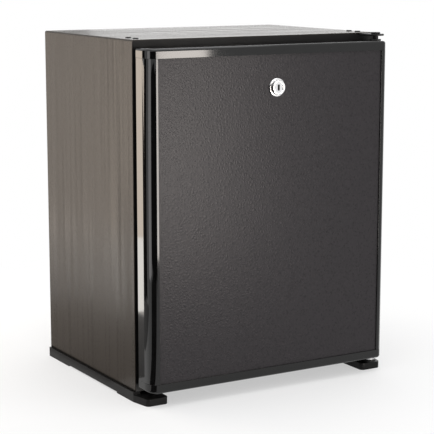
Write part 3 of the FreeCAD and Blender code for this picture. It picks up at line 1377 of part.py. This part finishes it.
def terminal_box():
    right = TERMINAL_LEFT + TERMINAL_WIDTH
    face = rounded_face(
        TERMINAL_LEFT, right, TERMINAL_BOTTOM, TERMINAL_BOTTOM + TERMINAL_TALL,
        TERMINAL_CORNER, front_plane(BACK_Y))
    return face.extrude(BACKWARD * TERMINAL_DEPTH)


def cord_gland():
    """A flanged bush below the terminal box where a cord would go in."""
    top = Vector(TERMINAL_LEFT + TERMINAL_WIDTH / 2, BACK_Y + TERMINAL_DEPTH / 2, TERMINAL_BOTTOM)
    collar = rod(top + DOWN * GLAND_COLLAR, top, GLAND_RADIUS)
    sleeve = rod(top + DOWN * GLAND_LENGTH, top, (GLAND_RADIUS + GLAND_BORE) / 2)
    bore = rod(top + DOWN * (GLAND_LENGTH + OVERRUN), top + UP * OVERRUN, GLAND_BORE)
    return collar.fuse(sleeve).removeSplitter().cut(bore)


# Every piece, under the name of its function

PIECES = [
    outer_wrap, base_pan, rear_panel, cabinet_foam, inner_liner, front_frame,
    left_base_rail, right_base_rail, rail_screws,
    top_hinge_plate, top_hinge_pin, top_hinge_screws, hinge_hole_plugs,
    bottom_hinge_bracket, bottom_hinge_pin, bottom_hinge_screws,
    door_top_bush, door_bottom_bush,
    door_left_stile, door_right_stile, door_top_rail, door_bottom_rail, door_front_panel,
    door_foam, door_inner_liner, door_gasket, lower_bin, middle_bin, upper_bin, bottle_bar,
    lock_body, lock_nut, lock_plug, lock_cam, lock_cam_screw, lock_keeper,
    control_housing, lamp_lens, thermostat_knob, light_switch_body, switch_plunger,
    evaporator_fins, drip_gutter, drain_tube, drip_cup, lower_shelf, upper_shelf,
    boiler_case, condenser_tube, condenser_fins, evaporator_cover, absorber_vessel, absorber_coil,
    solution_tube, cooling_brackets, terminal_box, cord_gland,
]

os.makedirs("parts", exist_ok=True)
for piece in PIECES:
    shape = piece()
    if isinstance(shape, list):
        shape = Part.makeCompound(shape)
    shape.exportStep(os.path.join("parts", piece.__name__ + ".step"))
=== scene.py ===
import json
import math

import bpy
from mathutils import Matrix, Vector

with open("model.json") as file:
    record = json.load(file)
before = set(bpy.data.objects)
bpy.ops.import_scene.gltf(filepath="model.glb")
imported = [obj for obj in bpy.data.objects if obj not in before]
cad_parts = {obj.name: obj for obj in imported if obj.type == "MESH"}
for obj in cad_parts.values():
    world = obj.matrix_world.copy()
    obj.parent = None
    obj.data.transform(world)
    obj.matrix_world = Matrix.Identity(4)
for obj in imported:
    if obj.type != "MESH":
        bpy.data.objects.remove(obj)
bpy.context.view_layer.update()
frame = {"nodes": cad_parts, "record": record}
nodes = frame["nodes"]


# Helpers for materials

NOISE_ENDS = (0.25, 0.75)
RAMP_ENDS = (0.3, 0.7)
NOISE_ROUGHNESS = 0.55
COARSE_DETAIL = 3.0
FINE_DETAIL = 2.0
WHITE = (1.0, 1.0, 1.0)


def grey(level):
    return (level, level, level)


def even(cells):
    """The same number of cells per metre along each axis."""
    return (cells, cells, cells)


def new_material(name):
    """A material with one plain shader, its node tree and that shader."""
    material = bpy.data.materials.new(name)
    material.use_nodes = True
    tree = material.node_tree
    tree.nodes.clear()
    output = tree.nodes.new("ShaderNodeOutputMaterial")
    shader = tree.nodes.new("ShaderNodeBsdfPrincipled")
    tree.links.new(shader.outputs["BSDF"], output.inputs["Surface"])
    return material, tree, shader


def maths(tree, operation, *values, clamp=False):
    """The result of a sum whose values are numbers or the outputs of other nodes."""
    node = tree.nodes.new("ShaderNodeMath")
    node.operation = operation
    node.use_clamp = clamp
    for socket, value in zip(node.inputs, values):
        if isinstance(value, float):
            socket.default_value = value
        else:
            tree.links.new(value, socket)
    return node.outputs["Value"]


def noise(tree, cells, detail=COARSE_DETAIL):
    """Noise in the piece's own frame, with a number of cells per metre along each axis."""
    place = tree.nodes.new("ShaderNodeTexCoord")
    mapping = tree.nodes.new("ShaderNodeMapping")
    mapping.inputs["Scale"].default_value = cells
    texture = tree.nodes.new("ShaderNodeTexNoise")
    texture.inputs["Scale"].default_value = 1.0
    texture.inputs["Detail"].default_value = detail
    texture.inputs["Roughness"].default_value = NOISE_ROUGHNESS
    tree.links.new(place.outputs["Object"], mapping.inputs["Vector"])
    tree.links.new(mapping.outputs["Vector"], texture.inputs["Vector"])
    return texture.outputs["Fac"]


def share_along(tree, axis):
    """How far a point lies along the piece's own box, from 0 to 1."""
    place = tree.nodes.new("ShaderNodeTexCoord")
    split = tree.nodes.new("ShaderNodeSeparateXYZ")
    tree.links.new(place.outputs["Generated"], split.inputs["Vector"])
    return split.outputs[axis]


def ramp(tree, value, low, high, ends=RAMP_ENDS):
    """A colour that goes from low to high between the two ends of a value."""
    node = tree.nodes.new("ShaderNodeValToRGB")
    for stop, position, colour in zip(node.color_ramp.elements, ends, (low, high)):
        stop.position = position
        stop.color = (*colour, 1.0)
    tree.links.new(value, node.inputs["Fac"])
    return node.outputs["Color"]


def spread(tree, value, low, high):
    """A number that goes from low to high over the usual values of a noise."""
    node = tree.nodes.new("ShaderNodeMapRange")
    node.inputs["From Min"].default_value, node.inputs["From Max"].default_value = NOISE_ENDS
    node.inputs["To Min"].default_value = low
    node.inputs["To Max"].default_value = high
    tree.links.new(value, node.inputs["Value"])
    return node.outputs["Result"]


def shaded(tree, colour, shade):
    """One colour darkened by another."""
    node = tree.nodes.new("ShaderNodeMix")
    node.data_type = "RGBA"
    node.blend_type = "MULTIPLY"
    node.inputs["Factor"].default_value = 1.0
    colours = [socket for socket in node.inputs if socket.type == "RGBA"]
    tree.links.new(colour, colours[0])
    tree.links.new(shade, colours[1])
    return next(socket for socket in node.outputs if socket.type == "RGBA")


def bump(tree, shader, height, strength, depth):
    node = tree.nodes.new("ShaderNodeBump")
    node.inputs["Strength"].default_value = strength
    node.inputs["Distance"].default_value = depth
    tree.links.new(height, node.inputs["Height"])
    tree.links.new(node.outputs["Normal"], shader.inputs["Normal"])


# Materials

def surface(name, low, high, rough, cells=even(60), metallic=0.0, ior=1.5, relief=None):
    """A finish whose colour and roughness vary a little over the piece.

    relief is (cells per metre, strength, depth) of a fine surface grain.
    """
    material, tree, shader = new_material(name)
    mottle = noise(tree, cells)
    tree.links.new(ramp(tree, mottle, low, high), shader.inputs["Base Color"])
    tree.links.new(spread(tree, mottle, *rough), shader.inputs["Roughness"])
    shader.inputs["Metallic"].default_value = metallic
    shader.inputs["IOR"].default_value = ior
    if relief:
        grain_cells, strength, depth = relief
        bump(tree, shader, noise(tree, even(grain_cells), FINE_DETAIL), strength, depth)
    return material


def brushed_paint():
    """Warm grey paint with fine streaks up the sides and across the top.

    A painted shadow runs along the lower edge as a dark, dull line, for the shade in the gap between the side
    sheet and the base rails. It covers the lowest shares of the sheet's height set below.
    """
    dark_paint, light_paint = (0.041, 0.0343, 0.0283), (0.047, 0.0395, 0.0327)
    streak_cells, grain_cells = (3, 130, 3), even(420)
    streak_roughness, grain_roughness = (-0.05, 0.21), 0.5
    grain_relief, relief_strength, relief_depth = 0.6, 0.18, 0.0002
    # Painted shadow line at the lower edge: how dark it is, and the shares of the sheet's height over which it
    # fades out.
    gap_shadow_shade, gap_shadow_shares = grey(0.1), (0.0048, 0.0064)

    material, tree, shader = new_material("cabinet_paint")
    streaks = noise(tree, streak_cells)
    grain = noise(tree, grain_cells, FINE_DETAIL)
    paint = ramp(tree, streaks, dark_paint, light_paint)
    # Painted shadow along the lower edge: it darkens the paint, and below it raises the roughness there so the
    # line stays dull.
    gap_shadow = ramp(tree, share_along(tree, "Z"), gap_shadow_shade, WHITE, gap_shadow_shares)
    tree.links.new(shaded(tree, paint, gap_shadow), shader.inputs["Base Color"])
    roughness = maths(tree, "MULTIPLY_ADD", grain, grain_roughness, spread(tree, streaks, *streak_roughness))
    tree.links.new(maths(tree, "DIVIDE", roughness, gap_shadow, clamp=True), shader.inputs["Roughness"])
    shader.inputs["IOR"].default_value = 1.205
    relief = maths(tree, "MULTIPLY_ADD", grain, grain_relief, streaks)
    bump(tree, shader, relief, relief_strength, relief_depth)
    return material


def grained_sheet():
    """Dark sheet with a fine leather grain."""
    dark_sheet, light_sheet = (0.028, 0.0250, 0.0271), (0.036, 0.0321, 0.0348)
    mottle_cells, leather_cells = even(320), 240.0
    relief_strength, relief_depth = 0.35, 0.0008

    material, tree, shader = new_material("door_panel")
    mottle = noise(tree, mottle_cells)
    tree.links.new(ramp(tree, mottle, dark_sheet, light_sheet), shader.inputs["Base Color"])
    tree.links.new(spread(tree, mottle, 0.25, 0.34), shader.inputs["Roughness"])
    shader.inputs["IOR"].default_value = 1.24
    place = tree.nodes.new("ShaderNodeTexCoord")
    leather = tree.nodes.new("ShaderNodeTexVoronoi")
    leather.feature = "DISTANCE_TO_EDGE"
    leather.inputs["Scale"].default_value = leather_cells
    tree.links.new(place.outputs["Object"], leather.inputs["Vector"])
    bump(tree, shader, leather.outputs["Distance"], relief_strength, relief_depth)
    return material


def clear_plastic():
    """Clear plastic with a faint blue tint."""
    dark_tint, light_tint = (0.86, 0.89, 0.91), (0.93, 0.95, 0.96)

    material, tree, shader = new_material("bin_plastic")
    mottle = noise(tree, even(30))
    tree.links.new(ramp(tree, mottle, dark_tint, light_tint), shader.inputs["Base Color"])
    tree.links.new(spread(tree, mottle, 0.05, 0.12), shader.inputs["Roughness"])
    shader.inputs["Transmission Weight"].default_value = 0.75
    shader.inputs["IOR"].default_value = 1.49
    return material


def keyed_chrome():
    """Chrome on the plug's face, with painted shade inside its keyhole, which starts at the shares of the
    plug's length set below.
    """
    # Painted shade: the keyhole's walls are near black, for the shade deep inside the keyhole.
    chrome, keyhole_shade, keyhole_shade_shares = (0.78, 0.78, 0.79), grey(0.01), (0.006, 0.012)

    material, tree, shader = new_material("lock_plug_chrome")
    tree.links.new(ramp(tree, share_along(tree, "Y"), chrome, keyhole_shade, keyhole_shade_shares), shader.inputs["Base Color"])
    tree.links.new(spread(tree, noise(tree, even(60)), 0.07, 0.11), shader.inputs["Roughness"])
    shader.inputs["Metallic"].default_value = 1.0
    return material


FINISHES = {
    "cabinet_steel": brushed_paint(),
    "black_steel": surface("black_steel", grey(0.014), grey(0.028), (0.32, 0.48), relief=(500, 0.1, 0.0002)),
    "insulation_foam": surface("insulation_foam", (0.66, 0.57, 0.33), (0.78, 0.70, 0.46), (0.8, 0.95),
                               cells=even(240), relief=(900, 0.5, 0.0005)),
    "white_plastic": surface("white_plastic", (0.765, 0.765, 0.75), (0.79, 0.79, 0.78), (0.28, 0.36),
                             relief=(700, 0.02, 0.0002)),
    "black_frame_plastic": surface("black_frame_plastic", grey(0.004), (0.007, 0.0065, 0.0065), (0.36, 0.46),
                                   ior=1.27, relief=(900, 0.15, 0.0002)),
    "gloss_black_plastic": surface("gloss_black_plastic", grey(0.0015), grey(0.003), (0.05, 0.08),
                                   cells=even(25), ior=1.45),
    "door_panel_sheet": grained_sheet(),
    "rail_plastic": surface("rail_plastic", (0.010, 0.0097, 0.0097), (0.016, 0.0156, 0.0156), (0.34, 0.46),
                            ior=1.2, relief=(1200, 0.2, 0.0002)),
    "hinge_steel": surface("hinge_steel", grey(0.008), grey(0.014), (0.34, 0.46), ior=1.25),
    "zinc_steel": surface("zinc_steel", (0.47, 0.47, 0.48), (0.55, 0.55, 0.56), (0.26, 0.34),
                          cells=even(300), metallic=1.0),
    "bush_plastic": surface("bush_plastic", grey(0.010), grey(0.018), (0.4, 0.5)),
    "gasket_rubber": surface("gasket_rubber", grey(0.010), grey(0.018), (0.62, 0.75), cells=even(200)),
    "lock_chrome": surface("lock_chrome", (0.74, 0.74, 0.75), (0.82, 0.82, 0.83), (0.16, 0.22), metallic=1.0),
    "evaporator_aluminium": surface("evaporator_aluminium", (0.50, 0.51, 0.52), (0.60, 0.61, 0.62),
                                    (0.46, 0.60), cells=(400, 400, 20), metallic=0.3),
    "shelf_wire": surface("shelf_wire", (0.74, 0.74, 0.73), (0.80, 0.80, 0.79), (0.22, 0.32)),
    "bin_plastic": clear_plastic(),
    "lens_plastic": surface("lens_plastic", (0.80, 0.79, 0.73), (0.86, 0.85, 0.80), (0.22, 0.32)),
    "drain_plastic": surface("drain_plastic", (0.50, 0.50, 0.49), (0.60, 0.60, 0.59), (0.4, 0.5)),
    "cover_sheet": surface("cover_sheet", grey(0.20), grey(0.26), (0.48, 0.60), cells=even(150), metallic=1.0),
}


# Each piece takes the finish of its slot or its own, and some have their edges broken a little

OWN_FINISHES = {
    "lock_plug": keyed_chrome(),
    "lock_keeper": surface("keeper_zinc", (0.34, 0.34, 0.35), (0.44, 0.44, 0.45), (0.50, 0.62),
                           cells=even(300), metallic=0.3),
    "hinge_hole_plugs": surface("plug_rubber", grey(0.004), grey(0.008), (0.8, 0.95), ior=1.1),
}
EDGE_WIDTHS = {
    "base_pan": 0.0003, "front_frame": 0.0004, "door_left_stile": 0.0004, "door_right_stile": 0.0004,
    "left_base_rail": 0.0006, "right_base_rail": 0.0006, "top_hinge_plate": 0.0005,
    "bottom_hinge_bracket": 0.0005, "lock_keeper": 0.0004, "lock_body": 0.0005,
}
EDGE_ANGLE = math.radians(40)
EDGE_SEGMENTS = 2
WELD_REACH = 0.000002


def soften_edges(piece, width):
    """Joins the faces of a CAD mesh and rounds its sharp edges by a small width."""
    weld = piece.modifiers.new("weld", "WELD")
    weld.merge_threshold = WELD_REACH
    edge = piece.modifiers.new("edge", "BEVEL")
    edge.width = width
    edge.segments = EDGE_SEGMENTS
    edge.limit_method = "ANGLE"
    edge.angle_limit = EDGE_ANGLE
    edge.harden_normals = True


for part in frame["record"]["subparts"]:
    name = part["node"]
    piece = nodes[name]
    piece.data.materials.clear()
    piece.data.materials.append(OWN_FINISHES.get(name, FINISHES[part["material_slot"]]))
    if name in EDGE_WIDTHS:
        soften_edges(piece, EDGE_WIDTHS[name])


# Floor, light and camera

FLOOR_SIDE = 24.0
WHITE_STARTS, WHITE_ENDS = 0.22, 0.80
NEAR_WHITE_SHARE = 0.5
CARD_SHADE = 0.005
CARD_MOTTLE = (0.9, 1.1)
TAN = (1.0, 0.83, 0.67)
CREAM = (1.0, 0.93, 0.87)
CAMERA_PLACE = (-1.1070, -1.9116, 0.6094)
CAMERA_HEADING = math.radians(30.518)
CAMERA_TILT = math.radians(9.997)
FOCAL_PIXELS, IMAGE_PIXELS = 1479.4, 434
SENSOR_WIDTH = 36.0


def seen_directly(tree):
    """1 for what is seen, also in a mirror or through clear plastic, and 0 for what only lights."""
    path = tree.nodes.new("ShaderNodeLightPath")
    seen = maths(tree, "MAXIMUM", path.outputs["Is Camera Ray"], path.outputs["Is Glossy Ray"])
    return maths(tree, "MAXIMUM", seen, path.outputs["Is Transmission Ray"])


def rectangle(name, wide, tall):
    """A flat mesh round its own middle."""
    mesh = bpy.data.meshes.new(name)
    x, y = wide / 2, tall / 2
    mesh.from_pydata([(-x, -y, 0), (x, -y, 0), (x, y, 0), (-x, y, 0)], [], [(0, 1, 2, 3)])
    return bpy.data.objects.new(name, mesh)


def put(item, place, direction, axis):
    """Puts a lamp, card or camera at a place, with one of its axes along a direction."""
    item.location = place
    item.rotation_mode = "QUATERNION"
    item.rotation_quaternion = direction.to_track_quat(axis, "Y")
    bpy.context.scene.collection.objects.link(item)


def add_floor():
    """A pale floor that keeps the shadow near the part and turns to plain white further out."""
    floor = rectangle("floor", FLOOR_SIDE, FLOOR_SIDE)
    bpy.context.scene.collection.objects.link(floor)
    material, tree, shader = new_material("floor")
    pale = ramp(tree, noise(tree, even(3)), grey(0.93), grey(0.95))
    tree.links.new(pale, shader.inputs["Base Color"])
    shader.inputs["Roughness"].default_value = 0.9
    white = tree.nodes.new("ShaderNodeEmission")
    white.inputs["Color"].default_value = (*WHITE, 1.0)
    place = tree.nodes.new("ShaderNodeTexCoord")
    reach = tree.nodes.new("ShaderNodeVectorMath")
    reach.operation = "LENGTH"
    fade = tree.nodes.new("ShaderNodeMapRange")
    fade.interpolation_type = "SMOOTHSTEP"
    fade.inputs["From Min"].default_value = WHITE_STARTS
    fade.inputs["From Max"].default_value = WHITE_ENDS
    fade.inputs["To Min"].default_value = NEAR_WHITE_SHARE
    mix = tree.nodes.new("ShaderNodeMixShader")
    output = next(node for node in tree.nodes if node.type == "OUTPUT_MATERIAL")
    tree.links.new(place.outputs["Object"], reach.inputs[0])
    tree.links.new(reach.outputs["Value"], fade.inputs["Value"])
    tree.links.new(maths(tree, "MULTIPLY", fade.outputs["Result"], seen_directly(tree)), mix.inputs["Fac"])
    tree.links.new(shader.outputs["BSDF"], mix.inputs[1])
    tree.links.new(white.outputs["Emission"], mix.inputs[2])
    tree.links.new(mix.outputs["Shader"], output.inputs["Surface"])
    floor.data.materials.append(material)


def add_world():
    """White where it is seen or mirrored, and a softer grey where it only lights."""
    world = bpy.data.worlds.new("studio")
    bpy.context.scene.world = world
    world.use_nodes = True
    tree = world.node_tree
    tree.nodes.clear()
    output = tree.nodes.new("ShaderNodeOutputWorld")
    lighting = tree.nodes.new("ShaderNodeBackground")
    lighting.inputs["Color"].default_value = (*grey(0.85), 1.0)
    seen = tree.nodes.new("ShaderNodeBackground")
    seen.inputs["Color"].default_value = (*WHITE, 1.0)
    mix = tree.nodes.new("ShaderNodeMixShader")
    tree.links.new(seen_directly(tree), mix.inputs["Fac"])
    tree.links.new(lighting.outputs["Background"], mix.inputs[1])
    tree.links.new(seen.outputs["Background"], mix.inputs[2])
    tree.links.new(mix.outputs["Shader"], output.inputs["Surface"])


def softbox(name, place, aim, size, brightness, colour=WHITE, mirrored_only=False):
    """A rectangular lamp that faces a point. brightness is that of its face, where 1 is white."""
    light = bpy.data.lights.new(name, "AREA")
    light.shape = "RECTANGLE"
    light.size, light.size_y = size
    light.energy = brightness * math.pi * light.size * light.size_y
    light.color = colour
    lamp = bpy.data.objects.new(name, light)
    lamp.visible_camera = False
    lamp.visible_diffuse = not mirrored_only
    put(lamp, place, Vector(aim) - Vector(place), "-Z")


def flag(name, place, aim, size, shade=CARD_SHADE):
    """A dark card that is only mirrored, and faces a point."""
    card = rectangle(name, *size)
    dark, light = [grey(shade * change) for change in CARD_MOTTLE]
    card.data.materials.append(surface(name, dark, light, (0.9, 1.0), cells=even(5)))
    card.visible_camera = False
    card.visible_diffuse = False
    card.visible_transmission = False
    card.visible_shadow = False
    put(card, place, Vector(aim) - Vector(place), "Z")


def add_camera():
    """A camera at the photograph's viewing angle."""
    level = math.cos(CAMERA_TILT)
    forward = Vector((math.sin(CAMERA_HEADING) * level,
                      math.cos(CAMERA_HEADING) * level,
                      -math.sin(CAMERA_TILT)))
    data = bpy.data.cameras.new("camera")
    data.sensor_width = SENSOR_WIDTH
    data.lens = FOCAL_PIXELS * SENSOR_WIDTH / IMAGE_PIXELS
    camera = bpy.data.objects.new("camera", data)
    put(camera, CAMERA_PLACE, forward, "-Z")
    bpy.context.scene.camera = camera


add_floor()
add_world()
softbox("overhead", place=(0.0, -0.2, 1.9), aim=(0.0, 0.0, 0.3), size=(1.8, 1.8), brightness=1.3)
softbox("back_left", place=(-0.707, 0.669, 0.309), aim=(-0.287, -0.051, 0.309), size=(0.24, 0.522),
        brightness=4.2, colour=TAN)
softbox("back_left_far", place=(-0.4605, 0.8125, 0.309), aim=(-0.0405, 0.0925, 0.309), size=(0.33, 0.522),
        brightness=1.2, colour=TAN)
softbox("low_left", place=(-0.44, 0.29, 0.072), aim=(-0.20, -0.168, 0.072), size=(0.05, 0.13),
        brightness=4.2, colour=(1.0, 0.97, 0.92), mirrored_only=True)
softbox("low_side", place=(-0.43, 0.49, 0.072), aim=(0.0, 0.49, 0.072), size=(0.48, 0.13),
        brightness=1.5, colour=(1.0, 0.90, 0.80), mirrored_only=True)
softbox("left", place=(-0.637, -0.099, 0.36), aim=(-0.195, -0.185, 0.36), size=(0.175, 0.7),
        brightness=2.3, colour=(1.0, 0.96, 0.97), mirrored_only=True)
softbox("front_right", place=(0.14, -1.05, 0.20), aim=(0.14, 0.0, 0.20), size=(0.49, 0.38),
        brightness=13.0, colour=CREAM, mirrored_only=True)
softbox("front_top", place=(0.325, -1.05, 0.51), aim=(0.325, 0.0, 0.51), size=(0.12, 0.24),
        brightness=15.5, colour=CREAM, mirrored_only=True)
softbox("back", place=(1.5, 1.9, 0.75), aim=(0.1, 0.0, 0.5), size=(2.0, 1.1), brightness=1.0)
flag("front_flag", place=(-0.38, -0.482, 0.30), aim=(-0.195, -0.185, 0.30), size=(1.04, 0.60))
flag("side_flag", place=(-0.425, 0.079, 0.30), aim=(-0.195, -0.185, 0.30), size=(0.10, 0.60))
flag("floor_flag", place=(-0.32, 0.195, 0.004), aim=(-0.32, 0.195, 1.0), size=(0.22, 0.51), shade=0.33)
flag("corner_flag", place=(-0.42, -0.39, 0.004), aim=(-0.42, -0.39, 1.0), size=(0.40, 0.44), shade=0.02)
flag("top_flag", place=(0.10, 1.6, 0.62), aim=(-0.15, 0.0, 0.50), size=(0.90, 1.20), shade=0.72)
add_camera()
bpy.context.scene.view_settings.view_transform = "Standard"
